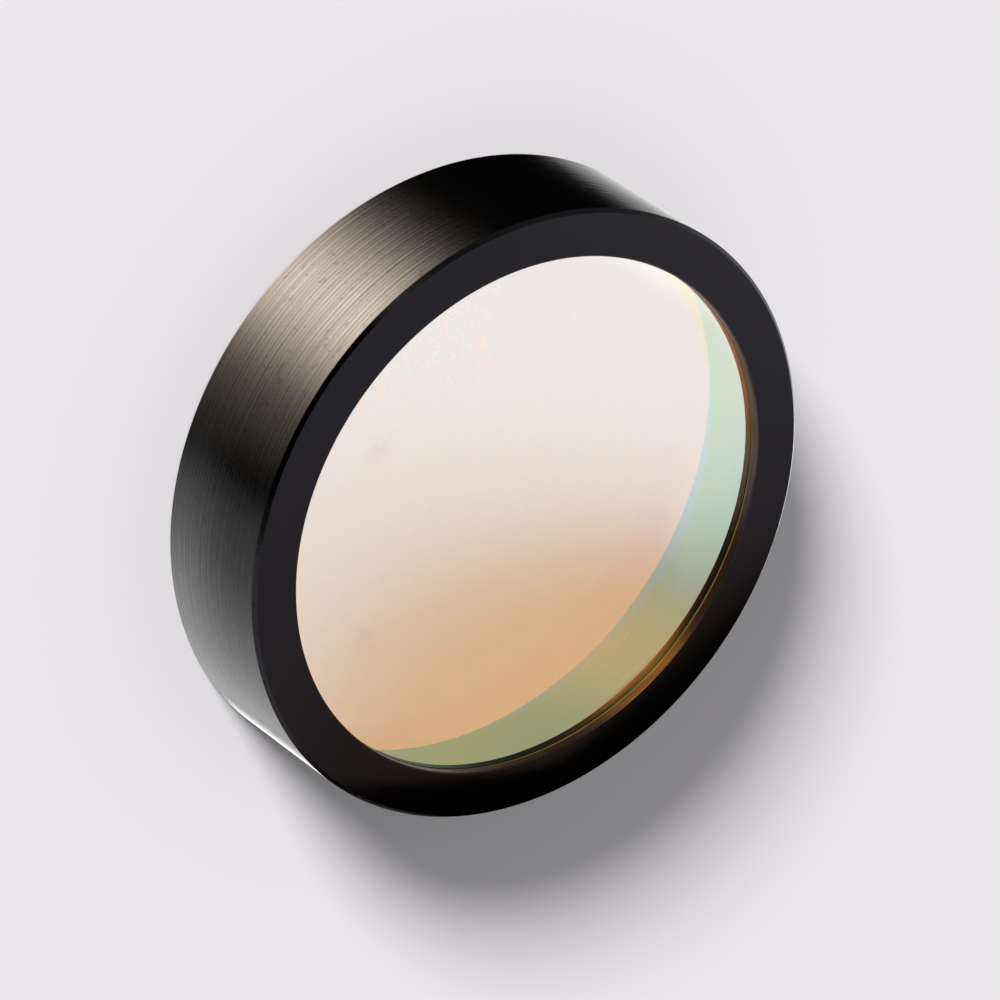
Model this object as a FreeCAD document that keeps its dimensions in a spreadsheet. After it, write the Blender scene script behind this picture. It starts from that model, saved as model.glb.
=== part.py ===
import FreeCAD, Part
import math
import os

import Sketcher

# Optical bandpass filter, 25 mm: a black anodised ring, the coated glass plate that sits behind
# its thin front lip, and the adhesive that holds the plate.
# Frame: +Z is the optical axis and points out of the front. The ring lies on its rear face,
# whose centre is the origin. Sizes are in millimetres.

SIZES = (
    # The ring, turned from bar in one piece: a thin wall, open behind, with a lip in front.
    ("outer_diameter", 25.0),
    ("ring_depth", 5.85),
    ("wall", 0.7),
    ("lip_thickness", 0.35),
    ("lip_overlap", 1.2),
    ("rim_chamfer", 0.15),
    ("mouth_chamfer", 0.2),
    ("aperture_rounding", 0.05),
    # The plate, with a small safety bevel on both edges.
    ("glass_thickness", 2.0),
    ("glass_bevel", 0.1),
    # The adhesive: under the lip, round the edge of the plate, and as a bead behind it.
    ("bond_film", 0.05),
    ("bond_gap", 0.1),
    ("bond_bead", 0.1),
    ("bond_setback", 0.03),
)

# What follows from the driving sizes. Radii are from the optical axis, heights from the rear face.
OUTER_RADIUS = "(Sizes.outer_diameter / 2)"
BORE_RADIUS = f"({OUTER_RADIUS} - Sizes.wall)"
APERTURE_RADIUS = f"({BORE_RADIUS} - Sizes.lip_overlap)"
FRONT = "Sizes.ring_depth"
SEAT = f"({FRONT} - Sizes.lip_thickness)"
GLASS_RADIUS = f"({BORE_RADIUS} - Sizes.bond_gap)"
GLASS_FLAT_RADIUS = f"({GLASS_RADIUS} - Sizes.glass_bevel)"
GLASS_FRONT = f"({SEAT} - Sizes.bond_film)"
GLASS_BACK = f"({GLASS_FRONT} - Sizes.glass_thickness)"
FILM_RADIUS = f"({APERTURE_RADIUS} + Sizes.bond_setback)"
BEAD_RADIUS = f"({GLASS_FLAT_RADIUS} - Sizes.bond_bead)"
BEAD_FOOT = f"({GLASS_BACK} - ({BORE_RADIUS} - {BEAD_RADIUS}))"
AXIS = "0"
REAR = "0"
FULL_TURN = 360

PARTS_FOLDER = "parts"

doc = FreeCAD.newDocument("bandpass_filter")


def fill_sheet():
    """The sheet that holds the driving sizes."""
    sheet = doc.addObject("Spreadsheet::Sheet", "Sizes")
    for row, (alias, size) in enumerate(SIZES, start=1):
        sheet.set(f"A{row}", alias)
        sheet.set(f"B{row}", str(size))
        sheet.setAlias(f"B{row}", alias)
    doc.recompute()
    return sheet


sheet = fill_sheet()


def value(expression):
    """What an expression on the sheet comes to, in millimetres."""
    return float(sheet.evalExpression(expression))


def new_body(name):
    """An empty body with its own label and place."""
    body = doc.addObject("PartDesign::Body", name)
    body.Label = name
    body.Placement = FreeCAD.Placement()
    return body


# In a sketch's constraints, -1 and -2 are its horizontal and vertical axes, point 1 of -1 is its
# origin, and a line has point 1 at its start and point 2 at its end.


def tie(sketch, line, direction, axis, expression):
    """Holds the start of a line at a distance from the origin, or on an axis where that is none."""
    if expression in (AXIS, REAR):
        sketch.addConstraint(Sketcher.Constraint("PointOnObject", line, 1, axis))
        return
    distance = Sketcher.Constraint(direction, -1, 1, line, 1, value(expression))
    number = sketch.addConstraint(distance)
    sketch.setExpression(f"Constraints[{number}]", expression)


def half_section(body, name, corners):
    """A closed outline in the body's XZ plane, through corners given as (radius, height)."""
    sketch = body.newObject("Sketcher::SketchObject", name)
    plane = next(item for item in body.Origin.OriginFeatures if item.Role == "XZ_Plane")
    sketch.AttachmentSupport = (plane, [""])
    sketch.MapMode = "FlatFace"
    points = [FreeCAD.Vector(value(radius), value(height), 0) for radius, height in corners]
    for start, end in zip(points, points[1:] + points[:1]):
        sketch.addGeometry(Part.LineSegment(start, end), False)
    horizontal_axis, vertical_axis = -1, -2
    for line, (radius, height) in enumerate(corners):
        following = (line + 1) % len(corners)
        sketch.addConstraint(Sketcher.Constraint("Coincident", line, 2, following, 1))
        tie(sketch, line, "DistanceX", vertical_axis, radius)
        tie(sketch, line, "DistanceY", horizontal_axis, height)
    return sketch


def turn(body, kind, name, corners):
    """Turns a half-section about the optical axis, as PartDesign::Revolution or ::Groove."""
    sketch = half_section(body, f"{name}_section", corners)
    feature = body.newObject(kind, name)
    feature.Profile = sketch
    feature.ReferenceAxis = (sketch, ["V_Axis"])
    feature.Angle = FULL_TURN
    doc.recompute()


def cut_disc(body, name, radius, low, high):
    """Bores a round hole from one height to another, and makes sure that it took metal out."""
    before = body.Shape.Volume
    disc = [(AXIS, low), (radius, low), (radius, high), (AXIS, high)]
    turn(body, "PartDesign::Groove", name, disc)
    disc_volume = math.pi * value(radius) ** 2 * (value(high) - value(low))
    if before - body.Shape.Volume < disc_volume / 2:
        raise RuntimeError(f"{name} cuts nothing")


def round_edges(feature, corners):
    """Names of the circular edges that pass through the given (radius, height) corners."""
    names = []
    for radius, height in corners:
        corner = Part.Vertex(value(radius), 0, value(height))
        for number, edge in enumerate(feature.Shape.Edges, start=1):
            is_circle = isinstance(edge.Curve, Part.Circle)
            if is_circle and edge.distToShape(corner)[0] <= edge.Tolerance:
                names.append(f"Edge{number}")
    if len(names) != len(corners):
        raise RuntimeError(f"{feature.Name}: wanted {len(corners)} edges, found {names}")
    return names


def round_off(body, name, radius, corners):
    """Rounds the edges at the given corners."""
    base = body.Tip
    fillet = body.newObject("PartDesign::Fillet", name)
    fillet.Base = (base, round_edges(base, corners))
    fillet.setExpression("Radius", radius)
    doc.recompute()


def chamfer(body, name, size, corners):
    """Cuts the edges at the given corners off at 45 degrees."""
    base = body.Tip
    bevel = body.newObject("PartDesign::Chamfer", name)
    bevel.Base = (base, round_edges(base, corners))
    bevel.setExpression("Size", size)
    doc.recompute()


def make_housing():
    """The ring: turned blank, bore from behind up to the lip, aperture, then the edges."""
    body = new_body("housing")
    blank = [(AXIS, REAR), (OUTER_RADIUS, REAR), (OUTER_RADIUS, FRONT), (AXIS, FRONT)]
    turn(body, "PartDesign::Revolution", "blank", blank)
    cut_disc(body, "rear_bore", BORE_RADIUS, REAR, SEAT)
    cut_disc(body, "aperture", APERTURE_RADIUS, SEAT, FRONT)
    rim = [(OUTER_RADIUS, REAR), (OUTER_RADIUS, FRONT)]
    chamfer(body, "rim_edges", "Sizes.rim_chamfer", rim)
    chamfer(body, "bore_mouth", "Sizes.mouth_chamfer", [(BORE_RADIUS, REAR)])
    round_off(body, "aperture_edge", "Sizes.aperture_rounding", [(APERTURE_RADIUS, FRONT)])
    return body


def make_filter_glass():
    """The plate: one flat round glass with bevelled edges. Its coatings are too thin to model."""
    body = new_body("filter_glass")
    plate = [
        (AXIS, GLASS_BACK),
        (GLASS_RADIUS, GLASS_BACK),
        (GLASS_RADIUS, GLASS_FRONT),
        (AXIS, GLASS_FRONT),
    ]
    turn(body, "PartDesign::Revolution", "plate", plate)
    edges = [(GLASS_RADIUS, GLASS_BACK), (GLASS_RADIUS, GLASS_FRONT)]
    chamfer(body, "plate_bevels", "Sizes.glass_bevel", edges)
    return body


def make_edge_bond():
    """The adhesive: it fills the gap from the lip, past the bevels, to a bead behind the plate."""
    body = new_body("edge_bond")
    outline = [
        (FILM_RADIUS, SEAT),
        (BORE_RADIUS, SEAT),
        (BORE_RADIUS, BEAD_FOOT),
        (BEAD_RADIUS, GLASS_BACK),
        (GLASS_FLAT_RADIUS, GLASS_BACK),
        (GLASS_RADIUS, f"({GLASS_BACK} + Sizes.glass_bevel)"),
        (GLASS_RADIUS, f"({GLASS_FRONT} - Sizes.glass_bevel)"),
        (GLASS_FLAT_RADIUS, GLASS_FRONT),
        (FILM_RADIUS, GLASS_FRONT),
    ]
    turn(body, "PartDesign::Revolution", "cured_adhesive", outline)
    return body


def check_document():
    """Stops on a feature that failed, because recompute alone doesn't."""
    doc.recompute()
    for item in doc.Objects:
        if "Invalid" in item.State or "Error" in item.State:
            raise RuntimeError(f"{item.Name} failed: {item.State}")


def write_step(body):
    """Writes one sub-part under its label, once its shape is sound."""
    shape = body.Shape
    if shape.isNull() or not shape.isValid() or len(shape.Solids) != 1:
        raise RuntimeError(f"{body.Label} isn't one valid solid")
    shape.exportStep(os.path.join(PARTS_FOLDER, f"{body.Label}.step"))
    print(f"{body.Label}: {shape.Volume:.3f} mm3")


bodies = [make_housing(), make_filter_glass(), make_edge_bond()]
check_document()
os.makedirs(PARTS_FOLDER, exist_ok=True)
for finished_body in bodies:
    write_step(finished_body)
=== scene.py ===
import math
from collections import namedtuple

import bpy
from mathutils import Matrix, Vector


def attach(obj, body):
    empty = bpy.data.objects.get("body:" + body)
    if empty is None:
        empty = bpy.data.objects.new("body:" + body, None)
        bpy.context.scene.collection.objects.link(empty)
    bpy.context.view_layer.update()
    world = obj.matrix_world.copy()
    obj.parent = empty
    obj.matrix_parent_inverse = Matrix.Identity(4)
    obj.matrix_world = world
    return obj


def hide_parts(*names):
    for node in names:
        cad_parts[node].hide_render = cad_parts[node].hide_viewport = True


# Optical bandpass filter, 25 mm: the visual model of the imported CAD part. The ring, the plate and
# the adhesive are turned again here as fine meshes of the same form, with the cutter's grooves.
# Sizes are in millimetres up to the place where a mesh, lamp or camera is made, which is in metres.

MM = 0.001

# Driving sizes, the same as the CAD model's
OUTER_DIAMETER = 25.0
RING_DEPTH = 5.85
WALL = 0.7
LIP_OVERLAP = 1.2
LIP_THICKNESS = 0.35
RIM_CHAMFER = 0.15
MOUTH_CHAMFER = 0.2
APERTURE_ROUNDING = 0.05
GLASS_THICKNESS = 2.0
GLASS_BEVEL = 0.1
BOND_GAP = 0.1
BOND_FILM = 0.05
BOND_SETBACK = 0.03
BOND_BEAD = 0.1

# Radii and heights worked out from them
OUTER_RADIUS = OUTER_DIAMETER / 2
BORE_RADIUS = OUTER_RADIUS - WALL
APERTURE_RADIUS = BORE_RADIUS - LIP_OVERLAP
SEAT = RING_DEPTH - LIP_THICKNESS
GLASS_RADIUS = BORE_RADIUS - BOND_GAP
GLASS_FLAT_RADIUS = GLASS_RADIUS - GLASS_BEVEL
GLASS_FRONT = SEAT - BOND_FILM
GLASS_BACK = GLASS_FRONT - GLASS_THICKNESS
FILM_RADIUS = APERTURE_RADIUS + BOND_SETBACK
BEAD_RADIUS = GLASS_FLAT_RADIUS - BOND_BEAD
BEAD_FOOT = GLASS_BACK - (BORE_RADIUS - BEAD_RADIUS)

# Fineness of the meshes: faces round the axis, across a groove and round the lip's edge
SEGMENTS = 384
GROOVE_STEPS = 4
LIP_EDGE_STEPS = 5

# Turning: the cutter's step per turn, and how deep its grooves are
RIM_FEED = 0.2
RIM_GROOVES = 0.003
BORE_FEED = 0.21
BORE_GROOVES = 0.004

# Camera, found by fitting the rim, the aperture and the lip's mirror image to the photograph.
# The part lies on its rear face, and the camera is turned with it, so that +Y is up in the picture.
CAMERA_PIVOT = (0, 0, 5.7)
CAMERA_DISTANCE = 300
CAMERA_AZIMUTH = 136.46
CAMERA_ELEVATION = 46.0
CAMERA_AIM = (-1.323, 1.103, 5.7)
CAMERA_LENS = 286.1
CAMERA_NEAR = 10

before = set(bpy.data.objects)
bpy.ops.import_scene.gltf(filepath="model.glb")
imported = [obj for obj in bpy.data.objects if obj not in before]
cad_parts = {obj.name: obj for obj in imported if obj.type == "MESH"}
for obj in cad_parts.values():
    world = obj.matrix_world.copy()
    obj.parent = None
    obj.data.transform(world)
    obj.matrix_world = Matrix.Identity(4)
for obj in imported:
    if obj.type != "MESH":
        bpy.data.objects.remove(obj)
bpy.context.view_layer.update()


def direction(azimuth, elevation):
    """The unit vector at an azimuth from +X and an elevation from the floor, in degrees."""
    across = math.cos(math.radians(elevation))
    return Vector((
        across * math.cos(math.radians(azimuth)),
        across * math.sin(math.radians(azimuth)),
        math.sin(math.radians(elevation)),
    ))


# Nodes


def connect(tree, source, socket):
    """Gives a socket a value or another node's output."""
    if isinstance(source, bpy.types.NodeSocket):
        tree.links.new(source, socket)
    else:
        socket.default_value = source


def node(tree, kind, inputs=None, **settings):
    """Adds a node with its settings. Each of its inputs takes a value or another node's output."""
    made = tree.nodes.new(kind)
    for name, setting in settings.items():
        setattr(made, name, setting)
    for socket, source in (inputs or {}).items():
        connect(tree, source, made.inputs[socket])
    return made


def calc(tree, operation, *values):
    """A Math node's result."""
    inputs = dict(enumerate(values))
    return node(tree, "ShaderNodeMath", inputs, operation=operation).outputs[0]


def plus(tree, total, *others):
    """The sum of two or more values."""
    for other in others:
        total = calc(tree, "ADD", total, other)
    return total


def times(tree, product, *others):
    """The product of two or more values."""
    for other in others:
        product = calc(tree, "MULTIPLY", product, other)
    return product


def length(tree, across, along):
    """The length of a vector of two parts."""
    return calc(tree, "SQRT", plus(tree, times(tree, across, across), times(tree, along, along)))


def azimuth_of(tree, x, y):
    """The azimuth of a vector from +X, in degrees."""
    return calc(tree, "DEGREES", calc(tree, "ARCTAN2", y, x))


def scaled(tree, vector, factor):
    """A vector times a number."""
    return node(tree, "ShaderNodeVectorMath", {0: vector, 3: factor}, operation="SCALE").outputs[0]


def ramp(tree, value, start, end, low=0.0, high=1.0):
    """Goes smoothly from low to high while value goes from start to end."""
    inputs = {0: value, 1: start, 2: end, 3: low, 4: high}
    made = node(tree, "ShaderNodeMapRange", inputs, interpolation_type="SMOOTHSTEP")
    return made.outputs[0]


def bell(tree, value, centre, width):
    """1 where value is at the centre, falling to 0 on both sides."""
    off = calc(tree, "DIVIDE", calc(tree, "SUBTRACT", value, centre), width)
    return calc(tree, "EXPONENT", times(tree, off, off, -1.0))


def blend(tree, share, first, second, kind="RGBA"):
    """The mix of two colours, or of two numbers where kind is FLOAT: the second at share 1."""
    suffix = {"RGBA": "Color", "FLOAT": "Float"}[kind]
    made = node(tree, "ShaderNodeMix", data_type=kind)
    wanted = {"Factor_Float": share, f"A_{suffix}": first, f"B_{suffix}": second}
    for socket in made.inputs:
        if socket.identifier in wanted:
            connect(tree, wanted[socket.identifier], socket)
    return next(socket for socket in made.outputs if socket.identifier == f"Result_{suffix}")


def through_stops(tree, value, start, end, stops):
    """A colour that goes through stops, each (value, colour), while value goes from start to end."""
    span = end - start
    share = calc(tree, "DIVIDE", calc(tree, "SUBTRACT", value, start), span)
    made = node(tree, "ShaderNodeValToRGB", {0: share})
    elements = made.color_ramp.elements
    while len(elements) < len(stops):
        elements.new(0.5)
    for element, (place, shade) in zip(elements, stops):
        element.position = (place - start) / span
        element.color = colour(*shade)
    return made.outputs[0]


def by_azimuth(tree, azimuth, levels):
    """A brightness that goes through levels, each at an azimuth in degrees."""
    brightest = max(level for place, level in levels)
    stops = [(place, [level / brightest] * 3) for place, level in levels]
    return times(tree, through_stops(tree, azimuth, -180, 180, stops), brightest)


def new_material(name):
    """A material with an empty tree and its output node."""
    material = bpy.data.materials.new(name)
    material.use_nodes = True
    tree = material.node_tree
    tree.nodes.clear()
    return material, tree, node(tree, "ShaderNodeOutputMaterial")


def colour(red, green, blue):
    return (red, green, blue, 1.0)


def by_ray(tree, ray, others, these):
    """The shader called these for rays of one kind, such as Is Shadow Ray, and others for the rest."""
    path = node(tree, "ShaderNodeLightPath")
    inputs = {0: path.outputs[ray], 1: others.outputs[0], 2: these.outputs[0]}
    return node(tree, "ShaderNodeMixShader", inputs)


# Meshes


def outline_rings(bands):
    """The outline's points in order, the strips between them, and the points where a band starts.

    A strip is (number of its first point, number of its last point, material number).
    """
    rings = [bands[0][1][0]]
    strips = []
    starts = set()
    for material, points in bands:
        starts.add(len(rings) - 1)
        for point in points[1:]:
            rings.append(point)
            strips.append((len(rings) - 2, len(rings) - 1, material))
    if rings[0] == rings[-1]:
        rings.pop()
        strips[-1] = (strips[-1][0], 0, strips[-1][2])
    return rings, strips, starts


def strip_face(low, high, step):
    """One face between two rings of vertices, each a range. A ring on the axis has one vertex."""
    following = (step + 1) % SEGMENTS
    if len(low) == 1:
        return (low[0], high[following], high[step])
    if len(high) == 1:
        return (low[step], low[following], high[0])
    return (low[step], low[following], high[following], high[step])


def lathe(name, bands, materials):
    """Turns a closed outline about the optical axis.

    bands is the outline with the solid on its left: a list of (material number, points), each
    point (radius, height). A band starts where the one before it ends. Each is smooth, and the
    edges between bands are sharp. A radius of 0 closes the outline on the axis.
    """
    rings, strips, band_starts = outline_rings(bands)
    vertices = []
    ring_vertices = []
    ring_of = []
    for number, (radius, height) in enumerate(rings):
        count = SEGMENTS if radius > 0 else 1
        ring_vertices.append(range(len(vertices), len(vertices) + count))
        ring_of += [number] * count
        for step in range(count):
            angle = 2 * math.pi * step / SEGMENTS
            place = (radius * math.cos(angle), radius * math.sin(angle), height)
            vertices.append(tuple(MM * value for value in place))
    faces = []
    numbers = []
    for low, high, material in strips:
        for step in range(SEGMENTS):
            faces.append(strip_face(ring_vertices[low], ring_vertices[high], step))
            numbers.append(material)
    mesh = bpy.data.meshes.new(name)
    mesh.from_pydata(vertices, [], faces)
    mesh.polygons.foreach_set("material_index", numbers)
    mesh.polygons.foreach_set("use_smooth", [True] * len(faces))
    for edge in mesh.edges:
        first, second = (ring_of[vertex] for vertex in edge.vertices)
        edge.use_edge_sharp = first == second and first in band_starts
    for material in materials:
        mesh.materials.append(material)
    mesh.update()
    piece = bpy.data.objects.new(name, mesh)
    bpy.context.scene.collection.objects.link(piece)
    return piece


def grooves(radius, start, end, feed, depth):
    """Points along a turned wall, from one height to another, with a groove of some depth per feed.

    A depth above 0 cuts towards the axis, as on a rim, and one below 0 away from it, as in a bore.
    Each groove is a parabola, and its depth is a little different from the next one's.
    """
    count = round(abs(end - start) / feed)
    points = []
    for groove in range(count):
        uneven = 0.6 + 0.4 * math.sin(2.3 * groove) * math.cos(0.9 * groove + 1.0)
        for step in range(GROOVE_STEPS):
            share = step / GROOVE_STEPS
            cut = depth * uneven * 4 * share * (1 - share)
            height = start + (end - start) * (groove + share) / count
            points.append((radius - cut, height))
    points.append((radius, end))
    return points


def arc(radius, height, size, start, end, steps):
    """Points on a quarter round about (radius, height), from one angle to another in degrees."""
    points = []
    for step in range(steps + 1):
        angle = math.radians(start + (end - start) * step / steps)
        points.append((radius + size * math.cos(angle), height + size * math.sin(angle)))
    return points


# Marks on the surface

# Noise drawn out along the cut: marks per millimetre along it, marks per millimetre across it, detail
STREAKS = (0.25, 7.0, 3.0)
GRAIN = (9.0, 9.0, 2.0)
BREAKS = (0.3, 1.5, 1.0)
STROKES = (0.35, 6.0, 1.0)
SPECKS = (3.5, 3.5, 1.0)
COATING_PATCHES = (2.0, 2.0, 1.0)
STAIN_PATCHES = (0.5, 9.0, 2.0)
ADHESIVE_SWELL = (1.5, 4.0, 2.0)
# The two values of the noise between which a mark goes from none to full
NOISE_SPREAD = (0.3, 0.7)
BREAK_EDGE = (0.4, 0.6)
SPECK_EDGE = (0.64, 0.7)
SMEAR_EDGE = (0.25, 0.65)
STAIN_EDGE = (0.4, 0.65)

Place = namedtuple("Place", ["x", "y", "height"])


def surface_place(tree):
    """The place on the surface, in millimetres."""
    place = scaled(tree, node(tree, "ShaderNodeTexCoord").outputs["Object"], 1 / MM)
    return Place(*node(tree, "ShaderNodeSeparateXYZ", {0: place}).outputs)


def from_axis(tree, place):
    """The distance of a place from the optical axis."""
    return length(tree, place.x, place.y)


def across_the_cut(tree, place):
    """A length that grows from one turn of the cutter to the next, on walls and on faces."""
    return plus(tree, place.height, from_axis(tree, place))


def cut_noise(tree, along, across, detail):
    """Noise drawn out along the cut."""
    place = surface_place(tree)
    inputs = {
        0: times(tree, place.x, along),
        1: times(tree, place.y, along),
        2: times(tree, across_the_cut(tree, place), across),
    }
    marks = node(tree, "ShaderNodeCombineXYZ", inputs).outputs[0]
    settings = {"Vector": marks, "Scale": 1.0, "Detail": detail, "Roughness": 0.5}
    return node(tree, "ShaderNodeTexNoise", settings).outputs[0]


def bumps(tree, distance, heights):
    """A normal for bumps of some height in millimetres."""
    inputs = {"Strength": 1.0, "Distance": distance * MM, "Height": heights}
    return node(tree, "ShaderNodeBump", inputs).outputs[0]


# Anodised ring

BLACK_DYE = (0.0003, 0.0003, 0.0003)
# The clear film's mirroring on the whole, and the strokes' share in its unevenness
FILM_SHARE = 0.83
STROKE_SHARE = 0.8
# The grain's share in the bumps, and how far it moves the roughness
GRAIN_SHARE = 0.25
ROUGHNESS_SPREAD = 0.03
TURNED_FINISH = {
    "roughness": 0.16,
    "film_ior": 1.68,
    "streak_height": 0.006,
    "feed": RIM_FEED,
    "unevenness": 0.075,
    "dullness": 0.22,
}
BORED_FINISH = {
    "roughness": 0.16,
    "film_ior": 1.44,
    "streak_height": 0.001,
    "feed": BORE_FEED,
    "unevenness": 0.2,
    "dullness": 0.0,
}
FACED_FINISH = {
    "roughness": 0.17,
    "film_ior": 1.335,
    "streak_height": 0.001,
    "feed": RIM_FEED,
    "unevenness": 0.012,
    "dullness": 0.03,
}


def make_anodised(name, roughness, film_ior, streak_height, feed, unevenness, dullness):
    """Black anodised aluminium: dark, with a clear film that mirrors a little, and cutter marks.

    How much it mirrors goes up and down by the unevenness with each feed, and by the dullness in specks.
    """
    material, tree, output = new_material(name)
    grain = cut_noise(tree, *GRAIN)
    heights = plus(tree, cut_noise(tree, *STREAKS), times(tree, grain, GRAIN_SHARE))
    smoothest = roughness - ROUGHNESS_SPREAD
    roughest = roughness + ROUGHNESS_SPREAD
    turns = times(tree, across_the_cut(tree, surface_place(tree)), 2 * math.pi / feed)
    broken = ramp(tree, cut_noise(tree, *BREAKS), *BREAK_EDGE)
    lines = times(tree, calc(tree, "SINE", turns), broken)
    strokes = ramp(tree, cut_noise(tree, *STROKES), *NOISE_SPREAD, -STROKE_SHARE, STROKE_SHARE)
    specks = ramp(tree, cut_noise(tree, *SPECKS), *SPECK_EDGE, 0.0, -dullness)
    film = plus(tree, times(tree, plus(tree, lines, strokes), unevenness), FILM_SHARE, specks)
    inputs = {
        "Base Color": colour(*BLACK_DYE),
        "Roughness": ramp(tree, grain, *NOISE_SPREAD, smoothest, roughest),
        "IOR": film_ior,
        "Specular Tint": film,
        "Normal": bumps(tree, streak_height, heights),
    }
    shader = node(tree, "ShaderNodeBsdfPrincipled", inputs)
    tree.links.new(shader.outputs[0], output.inputs["Surface"])
    return material


# The lip's wall has painted light and shade by azimuth: painted shade along the bottom, a painted amber
# glow at the lower right where the lamp's light through the glass falls, and painted brown light from
# the right over the top. Azimuths and widths are in degrees.
LIP_SHADE_AND_STAIN = (0.006, 0.004, 0.002)
LIP_PAINTED_BROWN_LIGHT = (0.06, 0.045, 0.035)
LIP_PAINTED_AMBER_GLOW = (0.2, 0.08, 0.012)
BROWN_STARTS = -25.0
BROWN_FULL = 15.0
AMBER_AZIMUTH = -58.0
AMBER_WIDTH = 10.0
STAIN_SHARE = 0.6


def make_lip_with_painted_light(name):
    """The lip's wall, with painted shade along the bottom, painted brown light from the right over the
    top, a painted amber glow on its lower right, and random dark stain patches.
    """
    material, tree, output = new_material(name)
    place = surface_place(tree)
    azimuth = azimuth_of(tree, place.x, place.y)
    # Painted light and shade: the colour follows the azimuth, where the wall is lit or shaded
    painted_brown_share = ramp(tree, azimuth, BROWN_STARTS, BROWN_FULL)
    shade = blend(tree, painted_brown_share, colour(*LIP_SHADE_AND_STAIN), colour(*LIP_PAINTED_BROWN_LIGHT))
    shade = blend(tree, bell(tree, azimuth, AMBER_AZIMUTH, AMBER_WIDTH), shade, colour(*LIP_PAINTED_AMBER_GLOW))
    patches = ramp(tree, cut_noise(tree, *STAIN_PATCHES), *STAIN_EDGE, 0.0, STAIN_SHARE)
    shade = blend(tree, patches, shade, colour(*LIP_SHADE_AND_STAIN))
    shader = node(tree, "ShaderNodeBsdfPrincipled", {"Base Color": shade, "Roughness": 0.3, "IOR": 1.4})
    tree.links.new(shader.outputs[0], output.inputs["Surface"])
    return material


def make_ring():
    """The housing: grooved rim with chamfered ends, front face, lip, seat and grooved bore."""
    materials = [
        make_anodised("anodised_turned", **TURNED_FINISH),
        make_anodised("anodised_faced", **FACED_FINISH),
        make_anodised("anodised_bored", **BORED_FINISH),
        make_lip_with_painted_light("lip_painted_light_and_stains"),
    ]
    turned, faced, bored, lip_wall = range(len(materials))
    edge = OUTER_RADIUS - RIM_CHAMFER
    lip_centre = (APERTURE_RADIUS + APERTURE_ROUNDING, RING_DEPTH - APERTURE_ROUNDING)
    mouth = BORE_RADIUS + MOUTH_CHAMFER
    rim = grooves(OUTER_RADIUS, RIM_CHAMFER, RING_DEPTH - RIM_CHAMFER, RIM_FEED, RIM_GROOVES)
    bore = grooves(BORE_RADIUS, SEAT, MOUTH_CHAMFER, BORE_FEED, -BORE_GROOVES)
    lip_edge = arc(*lip_centre, APERTURE_ROUNDING, 90, 180, LIP_EDGE_STEPS)
    bands = [
        (faced, [(mouth, 0), (edge, 0)]),
        (turned, [(edge, 0), rim[0]]),
        (turned, rim),
        (turned, [rim[-1], (edge, RING_DEPTH)]),
        (faced, [(edge, RING_DEPTH), (lip_centre[0], RING_DEPTH)]),
        (lip_wall, lip_edge),
        (lip_wall, [lip_edge[-1], (APERTURE_RADIUS, SEAT)]),
        (faced, [(APERTURE_RADIUS, SEAT), (BORE_RADIUS, SEAT)]),
        (bored, bore),
        (bored, [bore[-1], (mouth, 0)]),
    ]
    piece = lathe("turned_ring", bands, materials)
    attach(piece, "root")
    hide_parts("housing")


# Coated plate

# What each coating mirrors, seen from outside and from within the glass, and what it passes.
# The front one swallows most of the blue that comes back to it from within.
FRONT_COATING = {
    "outside": (0.585, 0.865, 0.62),
    "inside": (0.585, 0.865, 0.16),
    "passes": (0.415, 0.135, 0.38),
}
REAR_COATING = {
    "outside": (0.03, 0.3, 0.96),
    "inside": (0.03, 0.3, 0.96),
    "passes": (0.97, 0.7, 0.04),
}
GLASS_IOR = 1.46
# Faint smears on the front, each (x, y, width), and the share of the mirror that they take away
SMEARS = ((-6.6, 4.7, 0.5), (-7.3, -3.1, 0.6))
SMEAR_LEAST = 0.02
SMEAR_MOST = 0.1


def make_coating(name, outside, inside, passes, marks=()):
    """A polished face with an interference coating: part is mirrored and part goes through.

    marks are faint smears that dull the mirror, each (x, y, width) in millimetres.
    """
    material, tree, output = new_material(name)
    place = surface_place(tree)
    smear = 0.0
    for mark_x, mark_y, width in marks:
        across = calc(tree, "SUBTRACT", place.x, mark_x)
        along = calc(tree, "SUBTRACT", place.y, mark_y)
        smear = plus(tree, smear, bell(tree, length(tree, across, along), 0.0, width))
    patches = ramp(tree, cut_noise(tree, *COATING_PATCHES), *SMEAR_EDGE, SMEAR_LEAST, SMEAR_MOST)
    dulling = calc(tree, "SUBTRACT", 1.0, times(tree, smear, patches))
    within = node(tree, "ShaderNodeNewGeometry").outputs["Backfacing"]
    mirrored = blend(tree, within, colour(*outside), colour(*inside))
    reflects = {"Color": scaled(tree, mirrored, dulling), "Roughness": 0.0}
    mirror = node(tree, "ShaderNodeBsdfGlossy", reflects)
    refracts = {"Color": colour(*passes), "Roughness": 0.0, "IOR": GLASS_IOR}
    clear = node(tree, "ShaderNodeBsdfRefraction", refracts)
    seen = node(tree, "ShaderNodeAddShader", {0: mirror.outputs[0], 1: clear.outputs[0]})
    for_lamps = node(tree, "ShaderNodeBsdfTransparent", {"Color": colour(*passes)})
    mixed = by_ray(tree, "Is Shadow Ray", seen, for_lamps)
    tree.links.new(mixed.outputs[0], output.inputs["Surface"])
    return material


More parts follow.
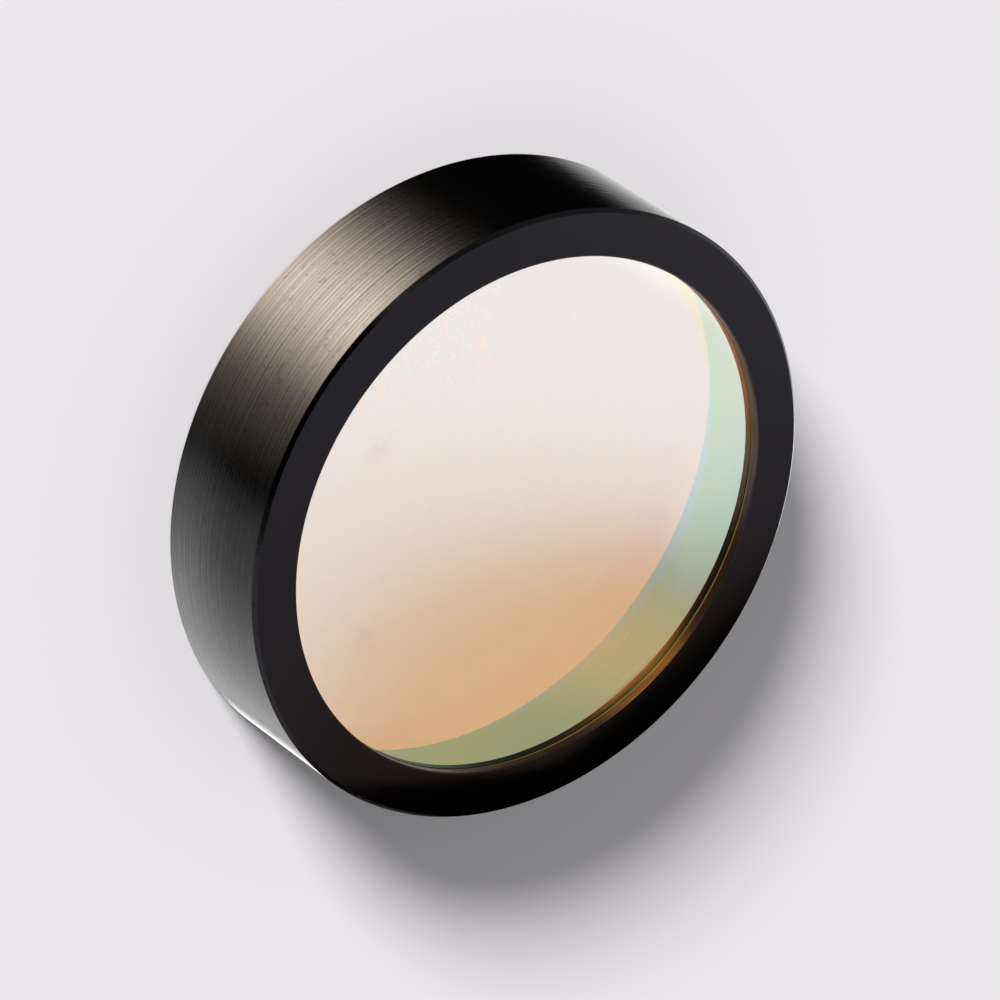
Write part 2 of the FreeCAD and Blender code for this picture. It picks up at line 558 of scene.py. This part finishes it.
def make_plate(adhesive):
    """The glass: two polished faces, with ground bevels and edge that the adhesive has blackened."""
    materials = [
        make_coating("front_coating", marks=SMEARS, **FRONT_COATING),
        make_coating("rear_coating", **REAR_COATING),
        adhesive,
    ]
    front, rear, ground = range(len(materials))
    middle = GLASS_FLAT_RADIUS / 2
    rear_edge = (GLASS_RADIUS, GLASS_BACK + GLASS_BEVEL)
    front_edge = (GLASS_RADIUS, GLASS_FRONT - GLASS_BEVEL)
    bands = [
        (rear, [(0, GLASS_BACK), (middle, GLASS_BACK), (GLASS_FLAT_RADIUS, GLASS_BACK)]),
        (ground, [(GLASS_FLAT_RADIUS, GLASS_BACK), rear_edge]),
        (ground, [rear_edge, front_edge]),
        (ground, [front_edge, (GLASS_FLAT_RADIUS, GLASS_FRONT)]),
        (front, [(GLASS_FLAT_RADIUS, GLASS_FRONT), (middle, GLASS_FRONT), (0, GLASS_FRONT)]),
    ]
    piece = lathe("coated_plate", bands, materials)
    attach(piece, "root")
    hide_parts("filter_glass")


# Adhesive

ADHESIVE_BLACK = (0.004, 0.004, 0.004)
# A painted highlight: the amber colour of the film's edge stands in for a bright contact line
ADHESIVE_EDGE_PAINTED_GLINT = (0.14, 0.095, 0.035)
SWELL_HEIGHT = 0.01


def make_adhesive(name, shade):
    """Cured adhesive, smooth and slightly uneven."""
    material, tree, output = new_material(name)
    inputs = {
        "Base Color": colour(*shade),
        "Roughness": 0.3,
        "IOR": 1.5,
        "Normal": bumps(tree, SWELL_HEIGHT, cut_noise(tree, *ADHESIVE_SWELL)),
    }
    shader = node(tree, "ShaderNodeBsdfPrincipled", inputs)
    tree.links.new(shader.outputs[0], output.inputs["Surface"])
    return material


def make_bond(adhesive):
    """The adhesive: film under the lip, sleeve round the plate, and the bead behind it.

    The film's edge is painted amber, a painted highlight along the bright contact line.
    """
    materials = [adhesive, make_adhesive("adhesive_edge_painted_glint", ADHESIVE_EDGE_PAINTED_GLINT)]
    black, lit = range(len(materials))
    outline = [
        (FILM_RADIUS, SEAT),
        (FILM_RADIUS, GLASS_FRONT),
        (GLASS_FLAT_RADIUS, GLASS_FRONT),
        (GLASS_RADIUS, GLASS_FRONT - GLASS_BEVEL),
        (GLASS_RADIUS, GLASS_BACK + GLASS_BEVEL),
        (GLASS_FLAT_RADIUS, GLASS_BACK),
        (BEAD_RADIUS, GLASS_BACK),
        (BORE_RADIUS, BEAD_FOOT),
        (BORE_RADIUS, SEAT),
        (FILM_RADIUS, SEAT),
    ]
    bands = [(black, list(pair)) for pair in zip(outline, outline[1:])]
    bands[0] = (lit, outline[:2])
    piece = lathe("adhesive_ring", bands, materials)
    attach(piece, "root")
    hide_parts("edge_bond")


# Studio: floor and cards

FLOOR_COLOUR = (0.84, 0.815, 0.845)
WHITE_BEHIND = (0.84, 0.82, 0.84)
FLOOR_HALF = 2000


def make_flat(name, corners, material):
    """A flat thing on the stage. Its corners are places in millimetres."""
    mesh = bpy.data.meshes.new(name)
    vertices = [tuple(MM * value for value in corner) for corner in corners]
    mesh.from_pydata(vertices, [], [tuple(range(len(corners)))])
    mesh.materials.append(material)
    material.cycles.emission_sampling = "NONE"
    flat = bpy.data.objects.new(name, mesh)
    bpy.context.scene.collection.objects.link(flat)
    return flat


def square(half, height):
    """The corners of a level square about the axis."""
    return [(-half, -half, height), (half, -half, height), (half, half, height), (-half, half, height)]


def make_floor():
    """A plain pale floor that keeps the shadow. Seen through the glass it is plain white."""
    material, tree, output = new_material("pale_floor")
    diffuse = node(tree, "ShaderNodeBsdfDiffuse", {"Color": colour(*FLOOR_COLOUR)})
    white = node(tree, "ShaderNodeEmission", {"Color": colour(*WHITE_BEHIND)})
    mixed = by_ray(tree, "Is Transmission Ray", diffuse, white)
    tree.links.new(mixed.outputs[0], output.inputs["Surface"])
    floor = make_flat("floor", square(FLOOR_HALF, 0), material)
    floor.visible_glossy = False


def gloss_card(name, corners, material):
    """A flat card that only gloss and glass see."""
    card = make_flat(name, corners, material)
    card.visible_camera = False
    card.visible_diffuse = False
    card.visible_shadow = False


CARD_DEPTH = -12.5
# The card's outline, as x and height. Its lower left is cut off, so that the rim gets light there.
CARD_OUTLINE = ((-60, 5.35), (2, 5.35), (12, 0), (140, 0), (140, 200), (-60, 200))
# The card's colour by its distance from the part in millimetres: warm and dim near it, a painted shadow
# of the part with a painted pool of the light that the filter passes, and pale far off
CARD_COLOURS = (
    (10, (0.5, 0.375, 0.29)),
    (13, (0.596, 0.396, 0.27)),
    (17, (0.55, 0.396, 0.33)),
    (20, (0.588, 0.451, 0.455)),
    (24, (0.707, 0.593, 0.663)),
    (28, (0.778, 0.69, 0.805)),
    (34, (0.845, 0.775, 0.925)),
    (44, (0.888, 0.82, 1.0)),
)
# Tuples of two or four numbers are what ramp takes: start, end, low and high.
# The colours are nearest at one x, bend up beside it, and are farther off right of a slanted edge.
COLOURS_X = 9.0
COLOURS_BEND = 0.04
SLANT = 0.75
RIGHT_OF_SLANT = (1.5, 3.5, 0.0, 2.7)
# The dark foot, a painted contact shadow of the part, ends along a curve, lowest at one x. It is half
# lit on its far left, and the far right of the card is brighter.
FOOT_X = 2.3
FOOT_CURVE = 0.53
FOOT_EDGE = (6.6, 7.25, 0.0, 1.0)
FOOT_LEFT = (-15.0, -9.0, 0.5, 0.0)
FAR_RIGHT = (28.8, 31.5, 1.0, 1.25)


def make_table_card():
    """What the front of the ring mirrors: a table with a painted shadow of the part, dark at the part's
    foot and bright far off.
    """
    material, tree, output = new_material("table_card")
    place = surface_place(tree)
    across = calc(tree, "SUBTRACT", place.x, COLOURS_X)
    bend = times(tree, across, across, COLOURS_BEND)
    slanted = calc(tree, "SUBTRACT", place.x, times(tree, place.height, SLANT))
    away = plus(tree, place.height, bend, ramp(tree, slanted, *RIGHT_OF_SLANT))
    table = through_stops(tree, away, CARD_COLOURS[0][0], CARD_COLOURS[-1][0], CARD_COLOURS)
    # Painted shadow: the part's contact shadow along the card's foot
    beside = times(tree, calc(tree, "SUBTRACT", place.x, FOOT_X), FOOT_CURVE)
    foot = calc(tree, "SQRT", plus(tree, times(tree, beside, beside), 1.0))
    lit = ramp(tree, calc(tree, "SUBTRACT", place.height, foot), *FOOT_EDGE)
    lit = calc(tree, "MAXIMUM", lit, ramp(tree, place.x, *FOOT_LEFT))
    strength = times(tree, lit, ramp(tree, place.x, *FAR_RIGHT))
    emission = node(tree, "ShaderNodeEmission", {"Color": table, "Strength": strength})
    tree.links.new(emission.outputs[0], output.inputs["Surface"])
    corners = [(x, CARD_DEPTH, height) for x, height in CARD_OUTLINE]
    gloss_card("table_card", corners, material)


GLOW_CARD_HALF = 20
GLOW_CARD_HEIGHT = -0.02
# In the bore the glow starts at one azimuth, fades past another, and is weaker towards the axis
BORE_GLOW_STARTS = (-36.0, -20.0)
BORE_GLOW_FADES = (-10.0, 25.0, 4.6, 1.6)
BORE_GLOW_ENDS = (11.9, 12.1, 1.0, 0.0)
BORE_GLOW_WEAKENS = (9.3, 10.2, 0.35, 1.0)
# At the rim's foot it is on the left, as a bell of some centre and width about the -X direction
FOOT_GLOW_BELL = (4.0, 19.0)
FOOT_GLOW_FADES = (12.5, 15.8, 0.72, 0.0)
FOOT_GLOW_STARTS = (12.1, 12.4)


def make_glow_card():
    """Light from just under the floor: in the bore on the right, and at the rim's foot on the left."""
    material, tree, output = new_material("glow_card")
    place = surface_place(tree)
    radius = from_axis(tree, place)
    azimuth = azimuth_of(tree, place.x, place.y)
    in_bore = times(
        tree,
        ramp(tree, azimuth, *BORE_GLOW_STARTS),
        ramp(tree, azimuth, *BORE_GLOW_FADES),
        ramp(tree, radius, *BORE_GLOW_ENDS),
        ramp(tree, radius, *BORE_GLOW_WEAKENS),
    )
    from_left = azimuth_of(tree, times(tree, place.x, -1.0), times(tree, place.y, -1.0))
    at_foot = times(
        tree,
        bell(tree, from_left, *FOOT_GLOW_BELL),
        ramp(tree, radius, *FOOT_GLOW_FADES),
        ramp(tree, radius, *FOOT_GLOW_STARTS),
    )
    glow = node(tree, "ShaderNodeEmission", {"Strength": plus(tree, in_bore, at_foot)})
    clear = node(tree, "ShaderNodeBsdfTransparent")
    seen = node(tree, "ShaderNodeAddShader", {0: glow.outputs[0], 1: clear.outputs[0]})
    tree.links.new(seen.outputs[0], output.inputs["Surface"])
    gloss_card("glow_card", square(GLOW_CARD_HALF, GLOW_CARD_HEIGHT), material)


# Studio: world, lamp and camera

SKY_SHARE = 0.3
LAMP_SHARE = 0.7
LAMP_AZIMUTH = 122
LAMP_ELEVATION = 24
LAMP_ANGLE = 16

SOFTBOX_COLOUR = (14.4, 12.2, 10.1)
SOFTBOX_AZIMUTH = 114
SOFTBOX_WIDTH = 24.5
SOFTBOX_HEIGHT = -0.6
SOFTBOX_SPREAD = 0.2
SOFTBOX_STARTS = (46.0, 82.0)
GLOW_SHARE = 0.035
GLOW_AZIMUTH = 160
GLOW_WIDTH = 14
# How bright the pale table is, by azimuth in degrees, for gloss that looks down and away
TABLE_LEVELS = (
    (-178, 0.0),
    (-160, 0.38),
    (-146, 0.45),
    (-116, 0.83),
    (-96, 0.98),
    (-76, 0.98),
    (-67, 0.5),
    (-57, 2.2),
    (-42, 1.9),
    (-28, 1.15),
    (-15, 0.62),
    (-7, 0.42),
    (-2, 0.0),
)
# The same for gloss that looks up: a pale room, dark behind the camera and on its left
ROOM_LEVELS = (
    (-172, 0.05),
    (-150, 0.45),
    (-76, 0.45),
    (-52, 0.75),
    (-16, 0.7),
    (8, 0.5),
    (28, 0.15),
    (88, 0.1),
    (103, 0.5),
    (114, 0.0),
)
# The table gives way to the room where gloss looks less far down than this
TABLE_ENDS = (-0.5, -0.4, 1.0, 0.0)


def make_world():
    """Plain soft light, and for gloss a studio: a warm softbox, the pale table and a dark room."""
    world = bpy.data.worlds.new("studio")
    bpy.context.scene.world = world
    world.use_nodes = True
    world.cycles.sampling_method = "NONE"
    tree = world.node_tree
    tree.nodes.clear()
    towards = node(tree, "ShaderNodeTexCoord").outputs["Generated"]
    x, y, z = node(tree, "ShaderNodeSeparateXYZ", {0: towards}).outputs
    azimuth = azimuth_of(tree, x, y)
    centre = bell(tree, azimuth, SOFTBOX_AZIMUTH, SOFTBOX_WIDTH)
    glow = times(tree, bell(tree, azimuth, GLOW_AZIMUTH, GLOW_WIDTH), GLOW_SHARE)
    height = bell(tree, z, SOFTBOX_HEIGHT, SOFTBOX_SPREAD)
    softbox = times(tree, plus(tree, centre, glow), height, ramp(tree, azimuth, *SOFTBOX_STARTS))
    table = by_azimuth(tree, azimuth, TABLE_LEVELS)
    room = by_azimuth(tree, azimuth, ROOM_LEVELS)
    studio = blend(tree, ramp(tree, z, *TABLE_ENDS), room, table, "FLOAT")
    inputs = {0: scaled(tree, SOFTBOX_COLOUR, softbox), 1: studio}
    glossy = node(tree, "ShaderNodeVectorMath", inputs, operation="ADD").outputs[0]
    path = node(tree, "ShaderNodeLightPath")
    plain = colour(SKY_SHARE, SKY_SHARE, SKY_SHARE)
    light = blend(tree, path.outputs["Is Glossy Ray"], plain, glossy)
    light = blend(tree, path.outputs["Is Camera Ray"], light, colour(*FLOOR_COLOUR))
    background = node(tree, "ShaderNodeBackground", {"Color": light})
    output = node(tree, "ShaderNodeOutputWorld")
    tree.links.new(background.outputs[0], output.inputs["Surface"])


def make_key_lamp():
    """A soft lamp from the upper left, for the shadow on the floor."""
    lamp = bpy.data.lights.new("key", "SUN")
    lamp.angle = math.radians(LAMP_ANGLE)
    lamp.energy = LAMP_SHARE * math.pi / math.sin(math.radians(LAMP_ELEVATION))
    key = bpy.data.objects.new("key", lamp)
    bpy.context.scene.collection.objects.link(key)
    towards = direction(LAMP_AZIMUTH, LAMP_ELEVATION)
    key.rotation_euler = towards.to_track_quat("Z", "Y").to_euler()
    key.visible_glossy = False


def make_camera():
    lens = bpy.data.cameras.new("camera")
    lens.lens = CAMERA_LENS
    lens.clip_start = MM * CAMERA_NEAR
    camera = bpy.data.objects.new("camera", lens)
    bpy.context.scene.collection.objects.link(camera)
    eye = Vector(CAMERA_PIVOT) + CAMERA_DISTANCE * direction(CAMERA_AZIMUTH, CAMERA_ELEVATION)
    back = (eye - Vector(CAMERA_AIM)).normalized()
    right = Vector((0, 1, 0)).cross(back).normalized()
    turn = Matrix((right, back.cross(right), back)).transposed()
    camera.matrix_world = Matrix.Translation(MM * eye) @ turn.to_4x4()
    bpy.context.scene.camera = camera


bpy.context.scene.view_settings.view_transform = "Standard"
black_adhesive = make_adhesive("black_adhesive", ADHESIVE_BLACK)
make_ring()
make_plate(black_adhesive)
make_bond(black_adhesive)
make_floor()
make_table_card()
make_glow_card()
make_world()
make_key_lamp()
make_camera()
